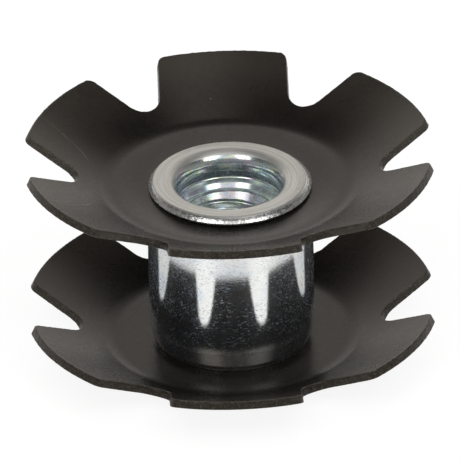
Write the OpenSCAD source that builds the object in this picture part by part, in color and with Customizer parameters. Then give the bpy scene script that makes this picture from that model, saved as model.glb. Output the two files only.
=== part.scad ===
// Star nut: two dished six-tab spring stars staked onto the ends of a threaded barrel.
// Z is the thread's axis, and z = 0 is the underside of the lower staked rim. The stars'
// tabs point along +Y and -Y and every 60 degrees from there.

/* [Stars] */
// Diameter across the tabs, on the upper edge of the sheet
star_d = 27; // [25:0.1:32]
// Thickness of the spring-steel sheet
sheet_t = 0.55; // [0.4:0.01:0.8]
// Number of tabs
tab_count = 6; // [5:1:7]
// Width of a tab, between its parallel sides
tab_w = 8.6; // [7:0.1:8.8]
// Radius at the root of the notch between two tabs
notch_root_r = 1.36; // [0.8:0.02:1.6]
// Radius of a tab's outer corners
tab_corner_r = 0.6; // [0.2:0.05:1.2]

/* [Dish] */
// Radius at which the flat centre and the cone would meet without the bend
dish_break_r = 8.2; // [7.2:0.1:9]
// Inside radius of the bend between the flat centre and the cone
dish_bend_r = 2.1; // [0.8:0.1:2.4]
// Rise of the cone from level, in degrees
dish_angle = 26.3; // [18:0.1:32]

/* [Barrel] */
// Diameter of the barrel between the stars
barrel_d = 11; // [10.5:0.1:12]
// Length of the barrel between the two stars' facing sides
star_gap = 10.84; // [10:0.02:14]
// Height over which the barrel's two ends ease in towards the stars
end_ease_h = 1.2; // [0.4:0.1:1.6]
// How far the ends ease in at the stars, on the radius
end_ease_in = 0.2; // [0.1:0.02:0.3]
// Turn of the lower star against the upper one, in degrees
lower_star_turn = -0.55; // [-5:0.05:5]

/* [Staked rims] */
// Diameter of the spigots that fill the stars' centre holes
spigot_d = 8.8; // [8.4:0.1:9.4]
// Diameter of the staked rims, where they bear on the stars
rim_d = 10.9; // [10.2:0.02:11]
// Thickness of the staked rims
rim_t = 0.32; // [0.25:0.01:0.6]
// Diameter of the rims' flat face, from which the edge falls away
rim_flat_d = 9.9; // [9.6:0.02:10.2]
// Diameter of the shoulder where the edge steepens
rim_shoulder_d = 10.4; // [10.2:0.02:10.6]
// Drop from the face to the shoulder
rim_shoulder_drop = 0.06; // [0.02:0.01:0.1]

/* [Mouths] */
// Diameter of a mouth where its rounded lip turns into the flare
mouth_throat_d = 7.4; // [7.2:0.02:7.6]
// Radius of the lip's round
mouth_lip_r = 0.8; // [0.4:0.05:1]
// Radius of the flare's section, which staking bulges in to a waist
mouth_flare_r = 1.25; // [1:0.05:1.4]
// Slope of the section where the lip meets the flare, in degrees
mouth_flare_angle = 45; // [30:1:50]
// Diameter at the bottom of a mouth
mouth_floor_d = 7.28; // [7.1:0.02:7.34]
// Depth of a mouth
mouth_depth = 1.88; // [1.6:0.02:2.2]

/* [Thread] */
// Drilled diameter of the thread, a 6 mm thread of 1 mm pitch
thread_minor_d = 5; // [4.9:0.01:5.2]
// Diameter of the small step under the upper mouth
step_d = 7.16; // [7:0.02:7.2]
// Depth of the bevel's upper edge below the upper rim's face
bevel_depth = 2.72; // [2.5:0.02:3]
// Diameter at the bevel's upper edge
bevel_d = 6.7; // [6.4:0.02:6.8]
// Slope of the bevel from the axis, in degrees
bevel_angle = 31.5; // [25:0.5:45]
// Slope of the drilled floor of the lower mouth from the axis, in degrees
drill_point_angle = 59; // [45:1:60]

/* [Hidden] */
$fn = 96;
clear = 1;        // how far a cutter stands past what it cuts
bend_steps = 6;   // straight stretches in a bend or a rounded edge

star_r = star_d / 2;
spigot_r = spigot_d / 2;
half_pitch = 180 / tab_count;

// Heights of the stack, from the ground up
lower_star_z = rim_t;
barrel_z0 = lower_star_z + sheet_t;
barrel_z1 = barrel_z0 + star_gap;
upper_star_z = barrel_z1;
upper_rim_z = upper_star_z + sheet_t;
top_z = upper_rim_z + rim_t;

// The points of an arc about c, from angle a0 to angle a1
function arc(c, r, a0, a1) =
    [for (i = [0:bend_steps]) let (a = a0 + (a1 - a0) * i / bend_steps) c + r * [cos(a), sin(a)]];

function reversed(points) = [for (i = [len(points) - 1:-1:0]) points[i]];

// A barrel end's section turned upside down, so that it ends the barrel at height h
function flipped(points, h) = [for (p = reversed(points)) [p[0], h - p[1]]];

// ---- stars ----

bend_c = [dish_break_r - dish_bend_r * tan(dish_angle / 2), sheet_t + dish_bend_r];
tip_top = [star_r, sheet_t + (star_r - dish_break_r) * tan(dish_angle)];
tip_bottom = tip_top + sheet_t * [sin(dish_angle), -cos(dish_angle)];
tip_r = tip_bottom[0];

// Section of the dished sheet: flat centre, bend, straight cone, end square to the sheet
module sheet_section() {
    polygon(concat(
        [[spigot_r, 0]],
        arc(bend_c, dish_bend_r + sheet_t, -90, -90 + dish_angle),
        [tip_bottom, tip_top],
        reversed(arc(bend_c, dish_bend_r, -90, -90 + dish_angle)),
        [[spigot_r, sheet_t]]));
}

// A point turned by angle a about the origin
function turned(p, a) = [p[0] * cos(a) - p[1] * sin(a), p[0] * sin(a) + p[1] * cos(a)];

// Upper half of the notch on the +X side: round root, a tab's straight side, its rounded corner,
// and out past the rim
notch_root_x = (tab_w / 2 + notch_root_r) / sin(half_pitch);
corner_reach = (star_r + tip_r) / 2;   // mid-way across the sheet's slanted end
corner_y = tab_w / 2 - tab_corner_r;
corner_x = sqrt(pow(corner_reach - tab_corner_r, 2) - corner_y * corner_y);
corner_turn = atan2(corner_y, corner_x);
notch_half = concat(
    arc([notch_root_x, 0], notch_root_r, 180, 90 + half_pitch),
    [for (p = concat(
        arc([corner_x, -corner_y], tab_corner_r, -90, -corner_turn),
        [(tip_r + clear) * [cos(corner_turn), -sin(corner_turn)]]))
        turned(p, half_pitch)]);

module notch_plan() {
    polygon(concat(notch_half, [for (p = reversed(notch_half)) [p[0], -p[1]]]));
}

// A dished star, its flat underside at z = 0
module star() {
    difference() {
        rotate_extrude()
            sheet_section();
        translate([0, 0, -clear])
            linear_extrude(tip_top[1] + 2 * clear)
                for (i = [0:tab_count - 1])
                    rotate(90 + half_pitch + i * 360 / tab_count)
                        notch_plan();
    }
}

module upper_star() {
    color("#3b3834")
        translate([0, 0, upper_star_z])
            star();
}

module lower_star() {
    color("#3b3834")
        translate([0, 0, lower_star_z])
            rotate(lower_star_turn)
                star();
}

// ---- barrel ----

// Outside of the lower end, from the rim's face up to the eased end of the body
lower_outside = concat(
    [
        [rim_flat_d / 2, 0],
        [rim_shoulder_d / 2, rim_shoulder_drop],
        [rim_d / 2, rim_t * 0.8],
        [rim_d / 2 - rim_t * 0.15, lower_star_z],
        [spigot_r, lower_star_z],
        [spigot_r, barrel_z0],
        [barrel_d / 2 - end_ease_in, barrel_z0],
        [barrel_d / 2 - end_ease_in / 3, barrel_z0 + end_ease_h / 3],
        [barrel_d / 2, barrel_z0 + end_ease_h]]);

// Inside of a mouth, from its floor in to the waist and out to the rim's face at z = 0
mouth_way = [cos(mouth_flare_angle), sin(mouth_flare_angle)];
lip_c = [mouth_throat_d / 2 + mouth_lip_r * mouth_way[0], mouth_lip_r];
flare_c = lip_c + (mouth_flare_r - mouth_lip_r) * mouth_way;
mouth_inside = concat(
    [[mouth_floor_d / 2, mouth_depth]],
    arc(flare_c, mouth_flare_r, -180, mouth_flare_angle - 180),
    arc(lip_c, mouth_lip_r, mouth_flare_angle - 180, -90));

// Where the thread's drilled wall ends, at the lower mouth's floor and at the upper bevel
thread_r = thread_minor_d / 2;
thread_z0 = mouth_depth + (mouth_floor_d / 2 - thread_r) / tan(drill_point_angle);
thread_z1 = top_z - bevel_depth - (bevel_d / 2 - thread_r) / tan(bevel_angle);

module threaded_barrel() {
    color("#b9bfc4")
        rotate_extrude()
            polygon(concat(
                lower_outside,
                flipped(lower_outside, top_z),
                flipped(mouth_inside, top_z),
                [
                    [step_d / 2, top_z - mouth_depth],
                    [bevel_d / 2, top_z - bevel_depth],
                    [thread_r, thread_z1],
                    [thread_r, thread_z0]],
                mouth_inside));
}

upper_star();
lower_star();
threaded_barrel();
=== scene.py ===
"""Star nut: two dished six-tab spring stars, blackened, staked on a zinc-plated threaded barrel.

Lengths are written in millimetres and become metres when a mesh is made. Z is the thread's
axis, z = 0 is the floor, and the front is -Y.
"""
import logging
from dataclasses import dataclass
from enum import Enum
from functools import reduce
from math import cos, pi, radians, sin, sqrt, tan
from operator import add
from typing import Any

import bpy
import numpy as np
from mathutils import Matrix, Vector


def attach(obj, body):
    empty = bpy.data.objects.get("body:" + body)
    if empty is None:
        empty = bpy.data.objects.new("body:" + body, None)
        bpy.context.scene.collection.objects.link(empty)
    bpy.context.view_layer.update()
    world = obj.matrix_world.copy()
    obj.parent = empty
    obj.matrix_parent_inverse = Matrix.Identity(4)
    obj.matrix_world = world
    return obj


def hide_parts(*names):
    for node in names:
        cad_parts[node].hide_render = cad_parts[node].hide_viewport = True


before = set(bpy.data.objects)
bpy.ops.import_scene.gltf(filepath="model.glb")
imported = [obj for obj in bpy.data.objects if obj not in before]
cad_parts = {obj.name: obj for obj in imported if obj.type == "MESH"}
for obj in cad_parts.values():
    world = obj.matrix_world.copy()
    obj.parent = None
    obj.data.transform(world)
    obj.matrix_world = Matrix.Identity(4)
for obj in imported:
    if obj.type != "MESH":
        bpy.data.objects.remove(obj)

MM = 0.001
log = logging.getLogger("star_nut")

Array = np.ndarray
Colour = tuple[float, float, float, float]
Pair = tuple[float, float]
Triple = tuple[float, float, float]
Span = tuple[float, float]  # where a smooth step starts and where it is done
Band = tuple[Span, Span]  # a step up and a step down
Grain = tuple[float, ...]  # a noise: size of its lumps, octaves, their roughness
Patch = tuple[Grain, Span]  # a noise and the step that cuts patches out of it
Specks = tuple[float, float, float]  # pitch, radius, share of the cells that hold one
Scratches = tuple[float, float, Triple, float]  # pitch, width, turn in degrees, share
Blend = tuple[tuple[str, float], ...]  # weight of each named mark in a sum


class Mark(Enum):
    """What a mesh carries for its finish, from 0 to 1 at each vertex."""

    EDGE = "edge"
    BURNISH = "burnish"
    BORE = "bore"


# ---------------------------------------------------------------- shader maths

class Socket:
    """A shader socket that takes part in ordinary arithmetic."""

    def __init__(self, sheet: "NodeSheet", link: Any) -> None:
        """Wraps a socket of a node sheet."""
        self.sheet = sheet
        self.link = link

    def _maths(self, operation: str, *values: Any, clamp: bool = False) -> "Socket":
        """One Math node on these values."""
        return self.sheet.add("ShaderNodeMath", {"operation": operation, "use_clamp": clamp},
                              dict(enumerate(values)))

    def __add__(self, other: Any) -> "Socket":
        """self + other."""
        return self._maths("ADD", self, other)

    def __sub__(self, other: Any) -> "Socket":
        """self - other."""
        return self._maths("SUBTRACT", self, other)

    def __rsub__(self, other: Any) -> "Socket":
        """other - self."""
        return self._maths("SUBTRACT", other, self)

    def __mul__(self, other: Any) -> "Socket":
        """self * other."""
        return self._maths("MULTIPLY", self, other)

    def __truediv__(self, other: Any) -> "Socket":
        """self / other."""
        return self._maths("DIVIDE", self, other)

    __radd__ = __add__
    __rmul__ = __mul__

    def most(self, other: Any) -> "Socket":
        """The larger of the two."""
        return self._maths("MAXIMUM", self, other)

    def clamped(self) -> "Socket":
        """self, held between 0 and 1."""
        return self._maths("ADD", self, 0.0, clamp=True)

    def size(self) -> "Socket":
        """self without its sign."""
        return self._maths("ABSOLUTE", self)

    def ramp(self, start: float, end: float) -> "Socket":
        """0 up to start, 1 from end on, and a smooth step between; falls instead if end < start.

        Args:
            start: value at which the step begins.
            end: value at which it is done.

        Returns:
            The stepped value, from 0 to 1.
        """
        low, high = min(start, end), max(start, end)
        step = self.sheet.add("ShaderNodeMapRange", {"interpolation_type": "SMOOTHSTEP"},
                              {"Value": self, "From Min": low, "From Max": high})
        return step if end >= start else 1.0 - step

    def band(self, rise: Span, fall: Span) -> "Socket":
        """1 between two smooth steps and 0 outside: one step times the other."""
        return self.ramp(*rise) * self.ramp(*fall)

    def line(self, start: float, slope: float) -> "Socket":
        """start + slope * self."""
        return self * slope + start


class NodeSheet:
    """The nodes of one material or world."""

    share_step: float = 0.02
    speck_core: float = 0.6
    scratch_scale: Triple = (0.14, 1.0, 1.0)

    def __init__(self, tree: Any) -> None:
        """Empties the tree."""
        self.tree = tree
        tree.nodes.clear()

    def add(self, kind: str, settings: dict[str, Any] | None = None,
            inputs: dict[Any, Any] | None = None, output: Any = 0) -> Socket:
        """Adds any node.

        Args:
            kind: the node's type.
            settings: what is set on the node itself; a ramp's stops are given as "stops".
            inputs: a value or a Socket for each input, by its name or number.
            output: the output wanted, by its name or number.

        Returns:
            That output.
        """
        node = self.tree.nodes.new(kind)
        for name, value in (settings or {}).items():
            if name == "stops":
                self._set_stops(node.color_ramp, value)
            else:
                setattr(node, name, value)
        self.feed(node, inputs or {})
        return Socket(self, node.outputs[output])

    def feed(self, node: Any, inputs: dict[Any, Any]) -> None:
        """Feeds a node: a Socket is linked, and a plain value is set.

        Args:
            node: the node.
            inputs: what goes to each input, by its name or number.
        """
        for key, value in inputs.items():
            if isinstance(value, Socket):
                self.tree.links.new(value.link, node.inputs[key])
            else:
                node.inputs[key].default_value = value

    @staticmethod
    def _set_stops(ramp: Any, stops: list[tuple[float, Colour]]) -> None:
        """Gives a colour ramp these stops.

        Args:
            ramp: the ramp.
            stops: positions and colours.
        """
        while len(ramp.elements) < len(stops):
            ramp.elements.new(0.5)
        for element, (position, colour) in zip(ramp.elements, stops):
            element.position = position
            element.color = colour

    def place(self) -> Socket:
        """The point on the piece, in millimetres."""
        point = self.add("ShaderNodeTexCoord", output="Object")
        return self.add("ShaderNodeVectorMath", {"operation": "SCALE"}, {0: point, "Scale": 1 / MM})

    def parts(self, vector: Socket) -> tuple[Socket, Socket, Socket]:
        """The x, y and z of a vector."""
        split = self.add("ShaderNodeSeparateXYZ", inputs={0: vector})
        return tuple(Socket(self, out) for out in split.link.node.outputs)

    def join(self, x: Any, y: Any, z: Any) -> Socket:
        """A vector from its x, y and z."""
        return self.add("ShaderNodeCombineXYZ", inputs={0: x, 1: y, 2: z})

    def reach(self, x: Any, y: Any) -> Socket:
        """The length sqrt(x^2 + y^2)."""
        return self.add("ShaderNodeVectorMath", {"operation": "LENGTH"}, {0: self.join(x, y, 0.0)}, "Value")

    def mark(self, mark: Mark) -> Socket:
        """What the piece carries under this mark."""
        return self.add("ShaderNodeAttribute", {"attribute_name": mark.value}, output="Fac")

    def ray_is(self, *kinds: str) -> Socket:
        """1 for rays of one of these kinds, 0 for others."""
        node = self.add("ShaderNodeLightPath").link.node
        return reduce(Socket.most, (Socket(self, node.outputs[f"Is {kind} Ray"]) for kind in kinds))

    def noise(self, place: Socket, grain: float, detail: float = 2.0, rough: float = 0.5) -> Socket:
        """Cloudy noise about 0.5, with lumps of roughly `grain` in the place's units."""
        return self.add("ShaderNodeTexNoise", {},
                        {"Vector": place, "Scale": 1 / grain, "Detail": detail, "Roughness": rough})

    def patches(self, place: Socket, grain: Grain, span: Span) -> Socket:
        """Patches: 1 where a noise of this grain is past the span, 0 where it is short of it."""
        return self.noise(place, *grain).ramp(*span)

    def specks(self, place: Socket, pitch: float, size: float, share: float) -> Socket:
        """Small round specks.

        Args:
            place: where the pattern is read.
            pitch: distance between neighbouring cells.
            size: radius of a speck.
            share: part of the cells that hold one.

        Returns:
            1 in a speck, 0 outside.
        """
        settings = {"feature": "F1"}
        inputs = {"Vector": place, "Scale": 1 / pitch}
        spread = self.add("ShaderNodeTexVoronoi", settings, inputs, "Distance")
        pick = self.add("ShaderNodeTexVoronoi", settings, inputs, "Color")
        chosen = self.parts(pick)[0].ramp(share + self.share_step, share)
        return spread.ramp(size / pitch, self.speck_core * size / pitch) * chosen

    def scratches(self, place: Socket, pitch: float, width: float, along: Triple,
                  share: float) -> Socket:
        """Short straight scratches: cells drawn out along one direction, with a thin line in some.

        Args:
            place: where the pattern is read.
            pitch: spacing of the scratches across their length.
            width: width of a scratch.
            along: turn of the pattern, in degrees about x, y and z; scratches run along its x.
            share: part of the cells that hold one.

        Returns:
            1 on a scratch, 0 off it.
        """
        turned = self.add("ShaderNodeMapping", {}, {
            "Vector": place, "Rotation": tuple(map(radians, along)), "Scale": self.scratch_scale})
        return self.specks(turned, pitch, width, share)

    def mix(self, factor: Any, a: Any, b: Any) -> Socket:
        """A blend of two colours.

        Args:
            factor: 0 for a, 1 for b.
            a: a colour.
            b: a colour.

        Returns:
            The blend.
        """
        node = self.add("ShaderNodeMix", {"data_type": "RGBA", "clamp_factor": True}).link.node
        factor_in, a_in, b_in, colour_out = 0, 6, 7, 2
        self.feed(node, {factor_in: factor, a_in: a, b_in: b})
        return Socket(self, node.outputs[colour_out])

    def bump(self, height: Socket, depth: float, normal: Socket | None = None) -> Socket:
        """A bumped normal.

        Args:
            height: relief from 0 to 1.
            depth: the millimetres that 1 stands for.
            normal: a normal that is already bumped.

        Returns:
            The normal.
        """
        inputs = {"Height": height, "Distance": depth * MM, "Strength": 1.0}
        if normal is not None:
            inputs["Normal"] = normal
        return self.add("ShaderNodeBump", {}, inputs)

    def surface(self, shader: Socket) -> None:
        """Ends the sheet with this shader."""
        kind = "World" if isinstance(self.tree.id_data, bpy.types.World) else "Material"
        node = self.tree.nodes.new(f"ShaderNodeOutput{kind}")
        self.tree.links.new(shader.link, node.inputs["Surface"])


def weigh(blend: Blend, marks: dict[str, Socket]) -> Socket:
    """The sum of weight times mark over a blend.

    Args:
        blend: names of the marks and their weights.
        marks: the marks by name.

    Returns:
        The sum.
    """
    return reduce(add, (marks[name] * weight for name, weight in blend))


def rgb(red: float, green: float, blue: float) -> Colour:
    """A colour with full alpha."""
    return (red, green, blue, 1.0)


def new_material(name: str) -> tuple[bpy.types.Material, NodeSheet]:
    """An empty node material and its sheet."""
    material = bpy.data.materials.new(name)
    material.use_nodes = True
    return material, NodeSheet(material.node_tree)


# ---------------------------------------------------------------- finishes

@dataclass(frozen=True)
class BlackOxide:
    """Black oxide on sheet steel: nearly black and satin, with painted light that turns the tabs paler
    towards their tips.

    Scores are curved scratches, each as the centre (x, y) and radius of its arc, its ends in x
    and its half width, in millimetres.
    """

    name: str = "black_spring_steel"
    dark: Colour = rgb(0.0080, 0.0072, 0.0062)
    brown: Colour = rgb(0.0125, 0.0105, 0.0085)
    # painted light: paler colour towards the tabs' tips, where more light falls than near the middle
    tip_light: Colour = rgb(0.034, 0.029, 0.0245)
    edge: Colour = rgb(0.020, 0.0175, 0.0145)
    # dust and wear colour; it also paints a highlight line along the rounded arrises
    dust: Colour = rgb(0.30, 0.27, 0.22)
    sheen_tint: Colour = rgb(1.0, 0.90, 0.80)
    roughness: float = 0.28
    gloss: float = 0.5
    film_ior: float = 1.5
    bare_metal: float = 0.8
    relief_depth: float = 0.004
    cloud: Grain = (3.2, 3.0)
    mottle: Grain = (0.45, 4.0, 0.62)
    grain: Grain = (0.07, 3.0, 0.6)
    rings: Grain = (0.16, 3.0, 0.6)
    chips: Patch = ((0.12, 2.0, 0.6), (0.54, 0.64))
    chip_areas: Patch = ((1.4, 2.0), (0.42, 0.60))
    torn: Patch = ((0.14, 3.0, 0.65), (0.48, 0.66))
    rubs: tuple[Scratches, ...] = ((0.9, 0.03, (0, 0, 34), 0.10), (1.1, 0.03, (0, 0, 112), 0.08))
    dust_specks: Specks = (0.95, 0.055, 0.09)
    glints: Specks = (0.16, 0.04, 0.12)
    brown_where: Span = (0.35, 0.75)
    # radii over which the painted tip light grows, and how much of it there is
    tip_light_r: Span = (9.0, 13.4)
    tip_light_share: Pair = (0.6, 0.8)
    edge_where: Span = (0.35, 0.65)
    edge_share: Pair = (0.70, 0.30)
    middle: float = 0.5
    cut_level: float = 0.35
    # the arris weight is a painted highlight along the arrises; the rest are dust, rubs, bare-metal glints
    # and torn burrs
    pale: Blend = (("rub", 0.10), ("dust", 0.7), ("glint", 0.8), ("arris_highlight", 0.16), ("torn", 0.20))
    rougher: Blend = (("uneven", 0.14), ("cloudy", 0.10), ("cut", 0.5), ("rub", -0.05))
    relief: Blend = (("mottle", 0.55), ("grain", 0.35), ("rings", 0.10))
    scores: tuple[tuple[float, ...], ...] = ()
    score_fade: float = 0.2
    score_core: float = 0.3
    score_where: Span = (0.25, 0.6)
    score_strength: float = 2.5

    def score(self, s: NodeSheet, x: Socket, y: Socket, mottle: Socket, arc: tuple[float, ...]) -> Socket:
        """One score: strongest on its arc, fading at its ends and broken up by the mottle.

        Args:
            s: the material's sheet.
            x: the point's x.
            y: the point's y.
            mottle: the noise that breaks it up.
            arc: one of the scores.

        Returns:
            Above 0 on the score, 0 off it.
        """
        centre_x, centre_y, arc_r, left, right, width = arc
        fade = self.score_fade
        off = (s.reach(x - centre_x, y - centre_y) - arc_r).size()
        span = x.band((left - fade, left + fade), (right + fade, right - fade))
        line = off.ramp(width, width * self.score_core) * span
        return line * mottle.ramp(*self.score_where) * self.score_strength

    def make(self) -> bpy.types.Material:
        """The material. It reads the mark EDGE, 1 on sheared walls.

        With e that mark, the arris mark is 4 e (1 - e), which is 1 on the rounded arrises, where it paints
        a paler highlight line.

        Returns:
            The material.
        """
        material, s = new_material(self.name)
        place = s.place()
        x, y, _ = s.parts(place)
        radius = s.reach(x, y)
        edge = s.mark(Mark.EDGE)
        cloud, mottle, grain = (s.noise(place, *kind) for kind in (self.cloud, self.mottle, self.grain))
        rings = s.noise(s.join(radius, 0.0, 0.0), *self.rings)
        rub = reduce(Socket.most, (s.scratches(place, *kind) for kind in self.rubs))
        rub = reduce(Socket.most, (self.score(s, x, y, mottle, arc) for arc in self.scores), rub)
        arris_highlight = (edge * (1.0 - edge) * 4.0).clamped()
        chipped = s.patches(place, *self.chips) * s.patches(place, *self.chip_areas)
        glint = (s.specks(place, *self.glints) * edge).most(chipped * arris_highlight)
        marks = {
            "rub": rub, "glint": glint, "arris_highlight": arris_highlight, "mottle": mottle, "grain": grain,
            "dust": s.specks(place, *self.dust_specks) * (1.0 - edge),
            "torn": s.patches(place, *self.torn) * edge,
            "rings": rings * (1.0 - edge),
            "uneven": mottle - self.middle,
            "cloudy": cloud - self.middle,
            "cut": edge * (mottle - self.cut_level)}
        colour = s.mix(cloud.ramp(*self.brown_where), self.dark, self.brown)
        # painted light: the tabs turn paler towards their tips
        colour = s.mix(radius.ramp(*self.tip_light_r) * cloud.line(*self.tip_light_share), colour, self.tip_light)
        colour = s.mix(edge * mottle.ramp(*self.edge_where).line(*self.edge_share), colour, self.edge)
        # paler with dust, rubs, glints and torn burrs, plus a painted highlight along the arrises
        colour = s.mix(weigh(self.pale, marks).clamped(), colour, self.dust)
        rough = (self.roughness + weigh(self.rougher, marks)).clamped()
        s.surface(s.add("ShaderNodeBsdfPrincipled", {}, {
            "Base Color": colour, "Roughness": rough, "Metallic": glint * self.bare_metal,
            "IOR": self.film_ior, "Specular IOR Level": self.gloss, "Specular Tint": self.sheen_tint,
            "Normal": s.bump(weigh(self.relief, marks), self.relief_depth)}))
        return material


@dataclass(frozen=True)
class ZincPlate:
    """Bright zinc with a thin clear passivate: mirror-like, faintly blue, finely scratched and pitted.

    Heights are measured from mid_z, half way up the barrel, towards either end.
    """

    name: str = "zinc_plated_steel"
    bright: Colour = rgb(0.88, 0.89, 0.875)
    bluish: Colour = rgb(0.74, 0.79, 0.85)
    haze: Colour = rgb(0.66, 0.75, 0.86)
    streak: Colour = rgb(0.50, 0.49, 0.46)
    # painted shade: dark grey laid into the mouth's undercut and on the step's edge
    painted_mouth_shade: Colour = rgb(0.26, 0.27, 0.27)
    worn: Colour = rgb(0.90, 0.89, 0.85)
    tint: tuple[tuple[float, Colour], ...] = (
        (0.32, rgb(0.66, 0.80, 0.90)), (0.41, rgb(0.56, 0.78, 0.74)), (0.47, rgb(0.88, 0.90, 0.56)),
        (0.53, rgb(0.60, 0.80, 0.80)), (0.59, rgb(0.93, 0.76, 0.80)), (0.68, rgb(0.64, 0.78, 0.94)))
    mid_z: float = 6.29
    cloud: Grain = (2.6, 3.0)
    mottle: Grain = (0.30, 4.0, 0.65)
    pits: Grain = (0.10, 4.0, 0.7)
    hues: Grain = (0.9, 2.0)
    chips: Grain = (0.16, 3.0, 0.6)
    turning: Grain = (0.11, 4.0, 0.65)
    turning_drift: float = 0.02
    turning_rise: float = 0.3
    hazy: Patch = ((0.45, 5.0, 0.7), (0.36, 0.68))
    scuffs: Patch = ((0.11, 3.0, 0.6), (0.52, 0.66))
    scuff_areas: Patch = ((1.6, 3.0), (0.32, 0.56))
    scuff_turn: Triple = (0.0, radians(35), 0.4)
    scuff_stretch: Triple = (0.30, 1.0, 1.0)
    dots: Specks = (0.42, 0.05, 0.16)
    flecks: Specks = (0.28, 0.04, 0.30)
    lines: tuple[Scratches, ...] = ((0.8, 0.03, (0, 62, 0), 0.12), (0.9, 0.03, (0, -38, 20), 0.10))
    bluish_where: Span = (0.40, 0.70)
    streak_where: Span = (0.62, 0.36)
    chipped_where: Span = (0.46, 0.60)
    hue_share: float = 0.85
    worn_share: float = 0.92
    flank_r: Span = (5.08, 5.16)
    flank_z: Span = (5.83, 5.90)
    # depths of the painted shade: the undercut under the flare, and a thin line at the step
    throat_z: Band = ((4.40, 4.50), (5.15, 5.00))
    step_z: Band = ((3.54, 3.58), (3.66, 3.62))
    ledge_z: Band = ((3.60, 3.68), (4.38, 4.30))
    deep_z: Span = (3.64, 3.50)
    roughness: float = 0.07
    rougher: Blend = (("mottle", 0.05), ("dots", 0.25), ("lines", 0.22), ("bore", 0.05), ("deep", 0.12),
                      ("flank", 0.08), ("burnish", 0.25), ("turned", 0.22))
    least_veil: float = 0.04
    veil: Blend = (("haze", 0.09), ("flecks", 0.40), ("dots", 0.45), ("lines", 0.55), ("scuffs", 0.38),
                   ("burnish", 0.25), ("bore", 0.12), ("ledge", 0.22), ("flank", 0.05), ("chipped", 0.30))
    veil_metal: float = 0.85
    veil_roughness: float = 0.5
    relief: Blend = (("pits", 0.5), ("mottle", 0.5), ("dots", -0.5), ("lines", -0.4))
    relief_depth: float = 0.0035
    ends_relief: Blend = (("turned", 1.0), ("flank_chips", 4.0))
    ends_depth: float = 0.006

    def make(self) -> bpy.types.Material:
        """A mirror under a thin veil. It reads BURNISH, 1 on the rims' faces, and BORE, 1 inside.

        Returns:
            The material.
        """
        material, s = new_material(self.name)
        place = s.place()
        x, y, z = s.parts(place)
        radius = s.reach(x, y)
        burnish, bore = s.mark(Mark.BURNISH), s.mark(Mark.BORE)
        cloud, mottle, pits, chips = (
            s.noise(place, *kind) for kind in (self.cloud, self.mottle, self.pits, self.chips))
        along = s.join(radius, (x + y) * self.turning_drift, z * self.turning_rise)
        turning = s.noise(along, *self.turning)
        hue = s.add("ShaderNodeValToRGB", {"stops": list(self.tint)}, {0: s.noise(place, *self.hues)})
        face = (z - self.mid_z).size()
        flank = radius.ramp(*self.flank_r) * face.ramp(*self.flank_z)
        # painted shade in the mouth's undercut and along the step's edge
        mouth_shade = bore * face.band(*self.throat_z).most(face.band(*self.step_z))
        turned = s.add("ShaderNodeMapping", {}, {
            "Vector": place, "Rotation": self.scuff_turn, "Scale": self.scuff_stretch})
        marks = {
            "mottle": mottle, "pits": pits, "bore": bore, "burnish": burnish, "flank": flank,
            "dots": s.specks(place, *self.dots),
            "flecks": s.specks(place, *self.flecks),
            "lines": reduce(Socket.most, (s.scratches(place, *kind) for kind in self.lines)),
            "scuffs": s.patches(turned, *self.scuffs) * s.patches(place, *self.scuff_areas),
            "haze": s.patches(place, *self.hazy),
            "deep": bore * face.ramp(*self.deep_z),
            "ledge": bore * face.band(*self.ledge_z),
            "turned": turning * burnish,
            "chipped": flank * chips.ramp(*self.chipped_where),
            "flank_chips": chips * flank}
        colour = s.mix(cloud.ramp(*self.bluish_where), self.bright, self.bluish)
        colour = s.mix(bore * self.hue_share, colour, hue)
        rings = s.mix(turning.ramp(*self.streak_where), self.worn, self.streak)
        colour = s.mix(burnish * self.worn_share, colour, rings)
        # painted shade: the undercut and the step's edge turn dark grey
        colour = s.mix(mouth_shade, colour, self.painted_mouth_shade)
        rough = (self.roughness + weigh(self.rougher, marks)).clamped()
        veil = (self.least_veil + weigh(self.veil, marks)).clamped()
        smooth = s.bump(weigh(self.relief, marks), self.relief_depth)
        ringed = s.bump(weigh(self.ends_relief, marks), self.ends_depth, smooth)
        shade = s.add("ShaderNodeBsdfPrincipled", {}, {
            "Base Color": colour, "Metallic": 1.0, "Roughness": rough, "Normal": ringed})
        soft = s.add("ShaderNodeBsdfPrincipled", {}, {
            "Base Color": s.mix(burnish.most(flank), self.haze, self.worn), "Metallic": self.veil_metal,
            "Roughness": self.veil_roughness, "Normal": ringed})
        s.surface(s.add("ShaderNodeMixShader", {}, {0: veil, 1: shade, 2: soft}))
        return material


# ---------------------------------------------------------------- mesh helpers

def wave(angle: Array, seed: int, turns: tuple[int, ...]) -> Array:
    """A closed wavy line about 0: the mean over k in turns of a_k cos(k angle + p_k), from a seed.

    Args:
        angle: angles in radians.
        seed: picks the amplitudes and phases.
        turns: how many waves go round for each term.

    Returns:
        One height for each angle, of the order of 1.
    """
    chance = np.random.default_rng(seed)
    k = np.array(turns)[:, None]
    size = chance.normal(size=k.shape)
    phase = chance.uniform(0, 2 * pi, size=k.shape)
    flat = angle.reshape(1, -1)
    return (size * np.cos(k * flat + phase)).sum(0).reshape(angle.shape) / sqrt(len(turns))


def smooth_step(x: Array, start: float, end: float) -> Array:
    """3t^2 - 2t^3 with t = (x - start) / (end - start) held between 0 and 1."""
    t = np.clip((x - start) / (end - start), 0, 1)
    return t * t * (3 - 2 * t)


def arc_points(centre: Pair, radius: float, a0: float, a1: float, count: int) -> Array:
    """Points c + r (cos a, sin a) for a from a0 to a1 degrees.

    Args:
        centre: the arc's centre.
        radius: its radius.
        a0: first angle in degrees.
        a1: last angle in degrees.
        count: number of points.

    Returns:
        An array of count rows and 2 columns.
    """
    a = np.radians(np.linspace(a0, a1, count))
    return np.array(centre) + radius * np.stack([np.cos(a), np.sin(a)], -1)


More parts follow.
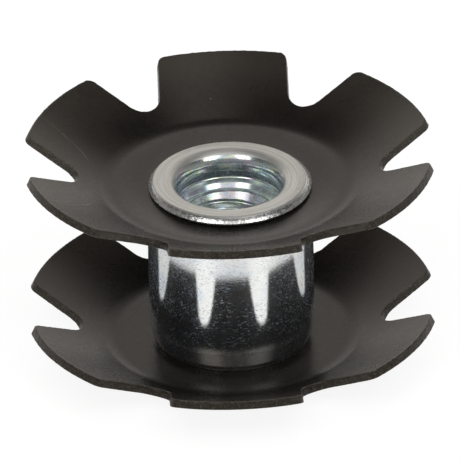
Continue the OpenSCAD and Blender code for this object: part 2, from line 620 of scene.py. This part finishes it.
def closed_ring(name: str, points: Array, marks: dict[Mark, Array]) -> bpy.types.Object:
    """A closed tube of quads from a grid that wraps both ways, with its marks.

    Vertex (i, j) joins (i + 1, j), (i + 1, j + 1) and (i, j + 1), indices taken round. The faces
    are turned outwards if the solid's signed volume, the sum of a . (b x c) / 6, is negative.

    Args:
        name: name of the object.
        points: grid of points in millimetres, of shape (rows, columns, 3).
        marks: values of each mark, each of shape (rows, columns).

    Returns:
        The object, smooth shaded, at the origin.
    """
    rows, columns = points.shape[:2]
    index = np.arange(rows * columns).reshape(rows, columns)
    nxt = np.roll(index, -1, 0)
    quads = np.stack([index, nxt, np.roll(nxt, -1, 1), np.roll(index, -1, 1)], -1).reshape(-1, 4)
    flat = points.reshape(-1, 3)
    a, b, c, d = (flat[quads[:, k]] for k in range(4))
    volume = (a * np.cross(b, c)).sum() + (a * np.cross(c, d)).sum()
    if volume < 0:
        quads = quads[:, ::-1]
    mesh = bpy.data.meshes.new(name)
    mesh.vertices.add(len(flat))
    mesh.vertices.foreach_set("co", (flat * MM).astype(np.float32).ravel())
    mesh.loops.add(quads.size)
    mesh.loops.foreach_set("vertex_index", quads.astype(np.int32).ravel())
    mesh.polygons.add(len(quads))
    mesh.polygons.foreach_set("loop_start", np.arange(0, quads.size, 4, dtype=np.int32))
    mesh.polygons.foreach_set("use_smooth", np.ones(len(quads), dtype=bool))
    for key, values in marks.items():
        layer = mesh.attributes.new(key.value, "FLOAT", "POINT")
        layer.data.foreach_set("value", values.astype(np.float32).ravel())
    mesh.update()
    mesh.validate()
    piece = bpy.data.objects.new(name, mesh)
    bpy.context.scene.collection.objects.link(piece)
    return piece


# ---------------------------------------------------------------- stars

@dataclass
class Star:
    """One dished star, in millimetres, with the solids' main sizes.

    The sheet is dented where the staked rim pressed it, on its upper side if dent_above and
    else on its underside, and most at the front. counts holds the points on the rim, corner,
    side and notch of half a tab. The rows run outwards over the seat and the bend, as the last
    radius and the number of rows, and then towards the sheared edge, as shares of the way.
    """

    node: str
    base_z: float
    turn: float
    seed: int
    tabs: int = 6
    rim_r: float = 13.5
    tab_w: float = 8.6
    notch_r: float = 1.36
    corner_r: float = 0.6
    hole_r: float = 4.4
    sheet: float = 0.55
    break_r: float = 8.2
    bend_r: float = 2.1
    rise: float = radians(26.3)
    top_round: float = 0.05
    burr_round: float = 0.03
    dent: float = 0.29
    dent_r: Span = (5.4, 7.9)
    dent_skew: Pair = (0.55, 0.45)
    lift: float = 0.035
    lift_turns: tuple[int, ...] = (2, 3, 5, 7)
    shear: float = 0.010
    shear_turns: tuple[int, ...] = tuple(range(40, 330, 9))
    shear_face: float = 0.6
    counts: tuple[int, int, int, int] = (36, 12, 22, 20)
    seat_rows: tuple[float, int] = (7.5, 17)
    bend_rows: tuple[float, float, int] = (7.65, 8.85, 11)
    cone_rows: tuple[float, ...] = (9.2, 9.6)
    edge_shares: tuple[float, ...] = (0.14, 0.28, 0.42, 0.56, 0.70, 0.82, 0.91, 0.97)
    wall_shares: Pair = (0.15, 0.85)
    round_rows: int = 5
    hole_rows: int = 4
    dent_above: bool = True

    def half_outline(self) -> tuple[Array, Array]:
        """Half a tab's edge in plan, from its tip's middle to the notch's middle, tab along +X.

        Rim: an arc of rim_r about the axis. Corner: an arc of corner_r that touches the rim and
        the side. Side: the line y = tab_w / 2. Notch: an arc of notch_r that touches the side,
        about a point half a pitch round and (tab_w / 2 + notch_r) / sin(half pitch) out.

        Returns:
            The points and the outward normals, each of shape (count, 2).
        """
        half = pi / self.tabs
        cy = self.tab_w / 2 - self.corner_r
        cx = sqrt((self.rim_r - self.corner_r) ** 2 - cy ** 2)
        meet = np.degrees(np.arctan2(cy, cx))
        far = (self.tab_w / 2 + self.notch_r) / sin(half)
        notch = (far * cos(half), far * sin(half))
        on_rim, on_corner, on_side, on_notch = self.counts
        rim = arc_points((0, 0), self.rim_r, 0, meet, on_rim)
        corner = arc_points((cx, cy), self.corner_r, meet, 90, on_corner)
        side_x = np.linspace(cx, notch[0], on_side)
        side = np.stack([side_x, np.full_like(side_x, self.tab_w / 2)], -1)
        root = arc_points(notch, self.notch_r, -90, -180 + np.degrees(half), on_notch)
        points = np.concatenate([rim[:-1], corner[:-1], side[:-1], root])
        normals = np.concatenate([
            rim[:-1] / self.rim_r, (corner[:-1] - (cx, cy)) / self.corner_r,
            np.tile([0.0, 1.0], (len(side) - 1, 1)), (np.array(notch) - root) / self.notch_r])
        return points, normals

    def outline(self) -> tuple[Array, Array]:
        """The whole edge in plan: each half turned over for the other half, then turned round.

        Returns:
            The points and the outward normals, each of shape (count, 2).
        """
        points, normals = self.half_outline()
        flip = np.array([1.0, -1.0])
        tab = np.concatenate([points[::-1] * flip, points[1:]])[:-1]
        way = np.concatenate([normals[::-1] * flip, normals[1:]])[:-1]
        angle = pi / 2 + self.turn + 2 * pi * np.arange(self.tabs) / self.tabs
        spin = np.stack([np.stack([np.cos(angle), -np.sin(angle)], -1),
                         np.stack([np.sin(angle), np.cos(angle)], -1)], 1)
        return tuple(np.einsum("kij,nj->kni", spin, v).reshape(-1, 2) for v in (tab, way))

    def top_height(self, r: Array) -> Array:
        """Height of the upper side over the flat's underside.

        sheet in the flat; sheet + bend_r - sqrt(bend_r^2 - (r - r0)^2) round the bend, which
        starts at r0; and the straight cone sheet + (r - break_r) tan(rise) beyond.

        Args:
            r: distances from the axis.

        Returns:
            A height for each.
        """
        r0 = self.break_r - self.bend_r * tan(self.rise / 2)
        u = np.clip(r - r0, 0, self.bend_r * sin(self.rise))
        bend = self.bend_r - np.sqrt(self.bend_r ** 2 - u ** 2)
        cone = (r - self.break_r) * tan(self.rise)
        return self.sheet + np.where(r - r0 > self.bend_r * sin(self.rise), cone, bend)

    def slope(self, r: Array) -> Array:
        """Slope of the sheet: asin((r - r0) / bend_r), held between 0 and rise."""
        r0 = self.break_r - self.bend_r * tan(self.rise / 2)
        return np.arcsin(np.clip((r - r0) / self.bend_r, 0, sin(self.rise)))

    def place(self, plan: Array, depth: Array) -> Array:
        """Points under the upper side, measured square to the sheet.

        With w the depth and a the slope at r: (r + w sin a, height - w cos a).

        Args:
            plan: points of shape (..., 2).
            depth: depth below the upper side, of shape (...).

        Returns:
            Points of shape (..., 3), in the row's frame.
        """
        r = np.linalg.norm(plan, axis=-1)
        a = self.slope(r)
        grow = (r + depth * np.sin(a)) / r
        phi = np.arctan2(plan[..., 1], plan[..., 0])
        lift = self.lift * wave(phi, self.seed, self.lift_turns) * smooth_step(r, self.break_r, self.rim_r)
        share = depth / self.sheet
        skew = self.dent_skew[0] - self.dent_skew[1] * np.sin(phi)
        sink = self.dent * skew * smooth_step(r, self.dent_r[1], self.dent_r[0])
        sink = -sink * (1 - share) if self.dent_above else sink * share
        z = self.base_z + self.top_height(r) - depth * np.cos(a) + lift + sink
        return np.concatenate([plan * grow[..., None], z[..., None]], -1)

    def build(self) -> bpy.types.Object:
        """The star as one closed ring: upper side, sheared edge, underside, centre hole.

        Returns:
            The star's sheet.
        """
        edge, way = self.outline()
        phi = np.arctan2(edge[:, 1], edge[:, 0])
        ray = np.stack([np.cos(phi), np.sin(phi)], -1)
        along = np.concatenate([[0], np.cumsum(np.linalg.norm(np.diff(edge, axis=0), axis=-1))])
        turn = along / along[-1] * 2 * pi
        shear = self.shear * wave(turn, self.seed + 1, self.shear_turns)
        inner = np.concatenate([np.linspace(self.hole_r, *self.seat_rows), np.linspace(*self.bend_rows),
                                self.cone_rows])
        quarter = np.radians(np.linspace(0, 90, self.round_rows))
        face = np.linspace(self.top_round, self.sheet - self.burr_round, self.round_rows + 2)[1:-1]

        def plan_row(share: float, inset: float) -> Array:
            """Points that share of the way from the last inner radius to the edge, set in."""
            goal = edge - way * (inset + shear[:, None] * (inset > 0))
            return ray * inner[-1] * (1 - share) + goal * share

        top = [(ray * r, 0.0, 0.0) for r in inner]
        top += [(plan_row(share, self.top_round), 0.0, 0.0) for share in self.edge_shares]
        walls = [(plan_row(1, self.top_round * (1 - sin(q))), self.top_round * (1 - cos(q)), q / (pi / 2))
                 for q in quarter]
        walls += [(plan_row(1, 0.0) + way * shear[:, None] * self.shear_face * sin(pi * t), w, 1.0)
                  for t, w in zip(np.linspace(*self.wall_shares, self.round_rows), face)]
        walls += [(plan_row(1, self.burr_round * (1 - cos(q))),
                   self.sheet - self.burr_round * (1 - sin(q)), 1 - q / (pi / 2)) for q in quarter]
        under = [(plan_row(share, self.burr_round), self.sheet, 0.0) for share in self.edge_shares[::-1]]
        under += [(ray * r, self.sheet, 0.0) for r in inner[::-1]]
        hole = [(ray * self.hole_r, w, 0.0) for w in np.linspace(self.sheet, 0, self.hole_rows)[1:-1]]
        rows = top + walls + under + hole
        points = np.stack([self.place(p, np.full(len(p), w)) for p, w, _ in rows])
        edge_mark = np.stack([np.full(len(edge), e) for _, _, e in rows])
        piece = closed_ring(f"{self.node}_sheet", points, {Mark.EDGE: edge_mark})
        log.info("%s: %d faces", piece.name, len(piece.data.polygons))
        return piece


# ---------------------------------------------------------------- barrel

@dataclass
class Barrel:
    """The turned, tapped and staked barrel, in millimetres, with the solids' main sizes.

    ease and step are knots of a profile: radius and height over the shoulder, and radius and
    depth under the rim's face. ragged is how far the rim's edge waves, along r and along z.
    """

    node: str = "threaded_barrel"
    body_r: float = 5.5
    ease: tuple[Pair, ...] = ((5.20, 0.02), (5.27, 0.22), (5.36, 0.44), (5.42, 0.80), (5.50, 1.34))
    ease_rows: int = 26
    shoulder: tuple[Pair, ...] = ((-0.07, 0.0), (-0.02, 0.01))
    wall_rows: tuple[float, float, int] = (0.04, 0.3, 14)
    spigot_r: float = 4.4
    rim_r: float = 5.41
    rim_sunk: float = 0.20
    rim_tuck: float = 0.07
    rim_t: float = 0.32
    rim_flat_r: float = 5.00
    rim_brow: float = 0.04
    rim_foot: float = 0.10
    rim_crown: Pair = (5.27, 0.20)
    rim_curl: float = 1.15
    rim_rows: tuple[int, int] = (12, 9)
    rim_margin: float = 0.01
    rim_shift: Pair = (0.06, 0.0)
    ragged: Pair = (0.008, 0.005)
    ragged_coarse: tuple[int, ...] = tuple(range(3, 64, 3))
    ragged_fine: tuple[int, ...] = tuple(range(41, 110, 5))
    ragged_up: tuple[int, ...] = tuple(range(31, 110, 4))
    seed: int = 5
    burnish_r: Span = (5.16, 5.06)
    burnish_depth: Span = (0.30, 0.20)
    sheet: float = 0.55
    gap: float = 10.84
    lip_r: float = 0.8
    flare_r: float = 1.25
    flare_slope: float = 45.0
    throat_r: float = 3.70
    floor_r: float = 3.64
    mouth_depth: float = 1.88
    mouth_rows: tuple[int, int, int] = (16, 16, 12)
    step: tuple[Pair, ...] = (
        (3.57, 1.91), (3.53, 2.10), (3.48, 2.21), (3.24, 2.50), (3.19, 2.60), (3.16, 2.68))
    step_rows: int = 24
    bevel_slope: float = radians(35.0)
    drill_slope: float = radians(59.0)
    minor_r: float = 2.5
    major_r: float = 3.0
    pitch: float = 1.0
    thread_phase: float = 0.98
    columns: int = 228
    row_step: float = 0.05

    @property
    def height(self) -> float:
        """Length over the staked rims."""
        return 2 * (self.rim_t + self.sheet) + self.gap

    @property
    def lip_centre(self) -> Pair:
        """Centre (r, depth) of the lip's round, which turns the rim's face into the flare."""
        slope = radians(self.flare_slope)
        return self.throat_r + self.lip_r * cos(slope), self.lip_r

    def outside(self) -> Array:
        """Half the outside, from the lower rim's face to mid-height.

        Each part is a straight run from p to q, p + (q - p) t, but the crown's height goes as
        t to the power rim_curl.

        Returns:
            Rows of (r, z, burnish, bore).
        """
        z1 = self.rim_t + self.sheet
        on_face, on_rim = self.rim_rows
        t = np.linspace(0, 1, on_rim)
        crown_r, crown_z = self.rim_crown
        crown_at = self.rim_flat_r + (crown_r - self.rim_flat_r) * t
        crown = np.stack([crown_at, crown_z * t ** self.rim_curl], -1)
        foot, brow = self.rim_t + self.rim_sunk, self.rim_t + self.rim_brow
        side = np.stack([crown_r + (self.rim_r - crown_r) * t, crown_z + (brow - crown_z) * t], -1)
        tuck = np.stack([self.rim_r - self.rim_tuck * t[1:], brow + (foot - brow) * t[1:]], -1)
        rim = np.concatenate([crown[:-1], side, tuck])
        face_r = np.linspace(self.lip_centre[0], self.rim_flat_r, on_face)[:-1]
        face = np.stack([face_r, np.zeros_like(face_r)], -1)
        knots = np.array(self.ease)
        up = np.linspace(knots[0, 1], knots[-1, 1], self.ease_rows)
        ease = np.stack([np.interp(up, knots[:, 1], knots[:, 0]), z1 + up], -1)
        corner = np.array(self.shoulder) + (knots[0, 0], z1)
        first, second, count = self.wall_rows
        eased = z1 + knots[-1, 1]
        wall_z = np.append(eased + first, np.linspace(eased + second, self.height / 2, count))
        wall = np.stack([np.full_like(wall_z, self.body_r), wall_z], -1)
        waist = np.array([[self.rim_r - self.rim_foot, foot], [self.spigot_r, foot], [self.spigot_r, z1]])
        line = np.concatenate([face, rim, waist, corner, ease, wall])
        burnish = np.concatenate([np.ones(len(face)), smooth_step(rim[:, 0], *self.burnish_r),
                                  np.zeros(len(line) - len(face) - len(rim))])
        return np.column_stack([line, burnish, np.zeros(len(line))])

    def mouth(self) -> Array:
        """A mouth from its floor out to the rim's face at z = 0: a wall, the flare and the lip.

        Returns:
            Rows of (r, z, burnish, bore).
        """
        slope = self.flare_slope
        on_wall, on_flare, on_lip = self.mouth_rows
        near, down = self.lip_centre
        out, sunk = cos(radians(slope)), sin(radians(slope))
        flare_at = (near + (self.flare_r - self.lip_r) * out, down + (self.flare_r - self.lip_r) * sunk)
        waist_r, waist_depth = flare_at[0] - self.flare_r, flare_at[1]
        depth = np.linspace(self.mouth_depth, waist_depth, on_wall)[:-1]
        r = waist_r + (self.floor_r - waist_r) * smooth_step(depth, waist_depth, self.mouth_depth)
        flare = arc_points(flare_at, self.flare_r, -180, slope - 180, on_flare)[:-1]
        lip = arc_points(self.lip_centre, self.lip_r, slope - 180, -90, on_lip)[:-1]
        line = np.concatenate([np.stack([r, depth], -1), flare, lip])
        burnish = smooth_step(line[:, 1], *self.burnish_depth)
        return np.column_stack([line, burnish, 1 - burnish])

    def thread_radius(self, r: Array, z: Array, turn: Array) -> Array:
        """Radius of the bore's wall: the larger of the drilled and bevelled wall and the thread.

        With d the distance along z from the nearest groove's middle line, z0 + pitch turn / 2 pi,
        the groove's radius is major + tan(60) (pitch / 16 - d), held up to major.

        Args:
            r: radius of the plain wall, of shape (rows, 1).
            z: height, of shape (rows, 1).
            turn: angle round the axis, of shape (1, columns).

        Returns:
            The radius at each row and column.
        """
        cycle = (z - self.thread_phase) / self.pitch - turn / (2 * pi)
        d = np.abs(cycle - np.round(cycle)) * self.pitch
        groove = np.minimum(self.major_r, self.major_r + tan(radians(60)) * (self.pitch / 16 - d))
        return np.maximum(r, groove)

    def build(self) -> bpy.types.Object:
        """The barrel as one closed ring: outside, upper mouth, threaded bore, lower mouth.

        Returns:
            The turned barrel.
        """
        top = self.height
        low = self.outside()
        high = low[:-1][::-1] * [1, -1, 1, 1] + [0, top, 0, 0]
        upper_mouth = self.mouth()[::-1] * [1, -1, 1, 1] + [0, top, 0, 0]
        knots = np.array(self.step)
        (bevel_r, bevel_depth), down = knots[-1], np.linspace(knots[0, 1], knots[-1, 1], self.step_rows)
        step, step_z = np.interp(down, knots[:, 1], knots[:, 0]), top - down
        start = self.mouth_depth + self.row_step
        bore_z = np.arange(top - bevel_depth - self.row_step, start, -self.row_step)
        bevel = bevel_r - (top - bevel_depth - bore_z) * tan(self.bevel_slope)
        drill = self.floor_r - (bore_z - self.mouth_depth) * tan(self.drill_slope)
        plain = np.maximum(np.maximum(bevel, drill), self.minor_r)
        inner = np.concatenate([np.stack([step, step_z], -1), np.stack([plain, bore_z], -1)])
        inner = np.column_stack([inner, np.zeros(len(inner)), np.ones(len(inner))])
        loop = np.concatenate([low, high, upper_mouth, inner, self.mouth()])
        turn = np.linspace(0, 2 * pi, self.columns, endpoint=False)[None, :]
        r = np.repeat(loop[:, :1], self.columns, 1)
        z = np.repeat(loop[:, 1:2], self.columns, 1)
        first = len(low) + len(high) + len(upper_mouth) + len(step_z)
        cut = slice(first, first + len(bore_z))
        r[cut] = self.thread_radius(loop[cut, :1], loop[cut, 1:2], turn)
        under_foot = self.rim_t + self.rim_sunk + self.rim_margin
        at_rim = np.abs(loop[:, 1:2] - top / 2) > top / 2 - under_foot
        at_edge = smooth_step(loop[:, :1], self.rim_flat_r, self.rim_r) * at_rim
        ragged = wave(turn, self.seed, self.ragged_coarse) / 2 + wave(turn, self.seed + 1, self.ragged_fine)
        r = r + at_edge * self.ragged[0] * ragged
        z = z + at_edge * self.ragged[1] * wave(turn, self.seed + 2, self.ragged_up)
        points = np.stack([r * np.cos(turn) + at_edge * self.rim_shift[0],
                           r * np.sin(turn) + at_edge * self.rim_shift[1], z], -1)
        marks = {Mark.BURNISH: np.repeat(loop[:, 2:3], self.columns, 1),
                 Mark.BORE: np.repeat(loop[:, 3:4], self.columns, 1)}
        piece = closed_ring(f"{self.node}_turned", points, marks)
        log.info("%s: %d faces", piece.name, len(piece.data.polygons))
        return piece


# ---------------------------------------------------------------- studio

@dataclass(frozen=True)
class SoftBox:
    """A soft lamp that points at the part.

    azimuth is in degrees to the right of the front and elevation in degrees above the floor;
    spread is the angles that its width and height fill, in degrees; radiance is the brightness
    of its face, where 1 is white; gloss says whether reflections show it.
    """

    name: str
    azimuth: float
    elevation: float
    spread: Pair
    radiance: float
    gloss: bool = True

    def place(self, distance: float) -> None:
        """Hangs the lamp. Each side of its face is 2 distance tan(angle / 2).

        Args:
            distance: metres from the part.
        """
        data = bpy.data.lights.new(self.name, "AREA")
        data.shape = "RECTANGLE"
        data.size, data.size_y = (2 * distance * tan(radians(angle / 2)) for angle in self.spread)
        data.energy = self.radiance * pi * data.size * data.size_y
        lamp = bpy.data.objects.new(self.name, data)
        turn, rise = radians(self.azimuth), radians(self.elevation)
        way = Vector((sin(turn) * cos(rise), -cos(turn) * cos(rise), sin(rise)))
        lamp.location = way * distance
        lamp.rotation_mode = "QUATERNION"
        lamp.rotation_quaternion = way.to_track_quat("Z", "Y")
        lamp.visible_camera = False
        lamp.visible_glossy = self.gloss
        bpy.context.scene.collection.objects.link(lamp)


@dataclass
class Studio:
    """Pale floor and backdrop, soft lamps and the camera.

    Pairs that start with glow or less hold a number for camera rays and one for gloss rays.
    """

    elevation: float = radians(29.94)
    azimuth: float = radians(1.361)
    roll: float = radians(-1.295)
    distance: float = 606.8
    lens: float = 716.36
    sensor: float = 36.0
    clip: Pair = (0.05, 20.0)
    aim: Triple = (-0.022, 0.0, 8.686)
    floor_size: float = 6.0
    floor_tone: float = 0.80
    less_tone: Pair = (0.62, 0.20)
    glow: Pair = (0.90, 0.27)
    floor_sheen: float = 0.42
    floor_roughness: float = 0.35
    dark: float = 0.04
    sweep: float = 0.88
    sweep_turn: float = 0.06
    least_level: float = 0.001
    sweep_where: Span = (0.68, 0.84)
    sweep_z: Span = (0.80, 0.46)
    overhead_z: Span = (0.60, 0.90)
    overhead: float = 0.07
    front: float = 0.88
    front_where: Span = (-0.55, -0.75)
    front_wide: Band = ((0.10, 0.35), (0.92, 0.80))
    front_wide_share: float = 0.17
    front_box: Band = ((0.56, 0.66), (0.88, 0.76))
    front_box_share: float = 0.75
    side: float = 0.24
    side_z: Span = (0.65, 0.25)
    warm: Colour = rgb(1.0, 0.97, 0.93)
    lamp_distance: float = 0.7
    lamps: tuple[SoftBox, ...] = (
        SoftBox("left_box", -37, 47.5, (22, 25), 2.2),
        SoftBox("right_box", 42, 47.5, (23, 25), 2.2),
        SoftBox("top_box", 125, 79, (20, 18), 0.9),
        SoftBox("fill", 0, 70, (60, 60), 1.0, gloss=False))

    def camera(self) -> None:
        """Looks down at the part from the front, from far off with a long lens."""
        forward = Vector((sin(self.azimuth) * cos(self.elevation),
                          cos(self.azimuth) * cos(self.elevation), -sin(self.elevation)))
        level = forward.cross(Vector((0, 0, 1))).normalized()
        above = level.cross(forward)
        right = level * cos(self.roll) + above * sin(self.roll)
        up = right.cross(forward)
        data = bpy.data.cameras.new("camera")
        data.sensor_width = self.sensor
        data.lens = self.lens
        data.clip_start, data.clip_end = self.clip
        eye = bpy.data.objects.new("camera", data)
        spot = Vector(self.aim) * MM - forward * self.distance * MM
        turned = Matrix((right, up, -forward)).transposed().to_4x4()
        eye.matrix_world = Matrix.Translation(spot) @ turned
        bpy.context.scene.collection.objects.link(eye)
        bpy.context.scene.camera = eye

    def white(self, name: str) -> bpy.types.Material:
        """Plain white that camera and gloss rays see near white, with the part's shadow kept.

        Args:
            name: name of the material.

        Returns:
            The material.
        """
        material, s = new_material(name)
        camera, gloss = s.ray_is("Camera"), s.ray_is("Glossy", "Transmission")
        glow = camera * self.glow[0] + gloss * self.glow[1]
        tone = self.floor_tone - camera * self.less_tone[0] - gloss * self.less_tone[1]
        sheen = gloss * self.floor_sheen
        matt = s.add("ShaderNodeBsdfDiffuse", {}, {"Color": s.join(tone, tone, tone)})
        satin = s.add("ShaderNodeBsdfGlossy", {}, {
            "Color": s.join(sheen, sheen, sheen), "Roughness": self.floor_roughness})
        light = s.add("ShaderNodeEmission", {}, {"Color": rgb(1, 1, 1), "Strength": glow})
        lit = s.add("ShaderNodeAddShader", {}, {0: matt, 1: light})
        s.surface(s.add("ShaderNodeAddShader", {}, {0: lit, 1: satin}))
        return material

    def floor(self) -> None:
        """A level white floor."""
        half = self.floor_size / 2
        mesh = bpy.data.meshes.new("floor")
        mesh.from_pydata([(-half, -half, 0), (half, -half, 0), (half, half, 0), (-half, half, 0)],
                         [], [(0, 1, 2, 3)])
        plane = bpy.data.objects.new("floor", mesh)
        plane.data.materials.append(self.white("white_floor"))
        bpy.context.scene.collection.objects.link(plane)

    def world(self) -> None:
        """White to the camera; to the part, a pale wall behind, a patch in front, dark between.

        x, y and z are the ray's direction, and behind, ahead and z pick the part of the sky.
        """
        world = bpy.data.worlds.new("studio")
        bpy.context.scene.world = world
        world.use_nodes = True
        s = NodeSheet(world.node_tree)
        camera = s.ray_is("Camera")
        x, y, z = s.parts(s.add("ShaderNodeTexCoord", output="Generated"))
        level = s.reach(x, y).most(self.least_level)
        behind = ((y - x * self.sweep_turn) / level).ramp(*self.sweep_where)
        ahead = (y / level).ramp(*self.front_where)
        wall = (z.ramp(*self.sweep_z) + z.ramp(*self.overhead_z) * self.overhead) * behind
        front = ahead * (z.band(*self.front_wide) * self.front_wide_share
                         + z.band(*self.front_box) * self.front_box_share)
        sides = z.ramp(*self.side_z) * (1.0 - behind) * (1.0 - ahead)
        tone = self.dark + wall * (self.sweep - self.dark) + front * self.front + sides * self.side
        shade = s.mix(tone.most(camera), rgb(0, 0, 0), s.mix(camera, self.warm, rgb(1, 1, 1)))
        s.surface(s.add("ShaderNodeBackground", {}, {"Color": shade, "Strength": 1.0}))

    def build(self) -> None:
        """Sets the stage."""
        self.camera()
        self.floor()
        self.world()
        for lamp in self.lamps:
            lamp.place(self.lamp_distance)
        bpy.context.scene.view_settings.view_transform = "Standard"


def main() -> None:
    """Builds the pieces in order, dresses them and sets the stage."""
    logging.basicConfig(level=logging.INFO, format="%(name)s: %(message)s")
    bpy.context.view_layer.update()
    barrel = Barrel()
    black = BlackOxide(scores=((-14.59, -0.56, 6.16, -10.95, -9.25, 0.05),
                               (-15.6, -0.3, 6.6, -11.9, -10.4, 0.04))).make()
    duller = BlackOxide("black_spring_steel_low", gloss=0.42).make()
    zinc = ZincPlate().make()
    upper = Star("upper_star", base_z=barrel.rim_t + barrel.sheet + barrel.gap, turn=0.0, seed=11)
    lower = Star("lower_star", base_z=barrel.rim_t, turn=radians(-0.55), seed=23, dent_above=False)
    for star, finish in ((upper, black), (lower, duller)):
        piece = star.build()
        piece.data.materials.append(finish)
        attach(piece, "root")
        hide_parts(star.node)
    piece = barrel.build()
    piece.data.materials.append(zinc)
    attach(piece, "root")
    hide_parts(barrel.node)
    Studio().build()


if __name__ == "__main__":
    main()
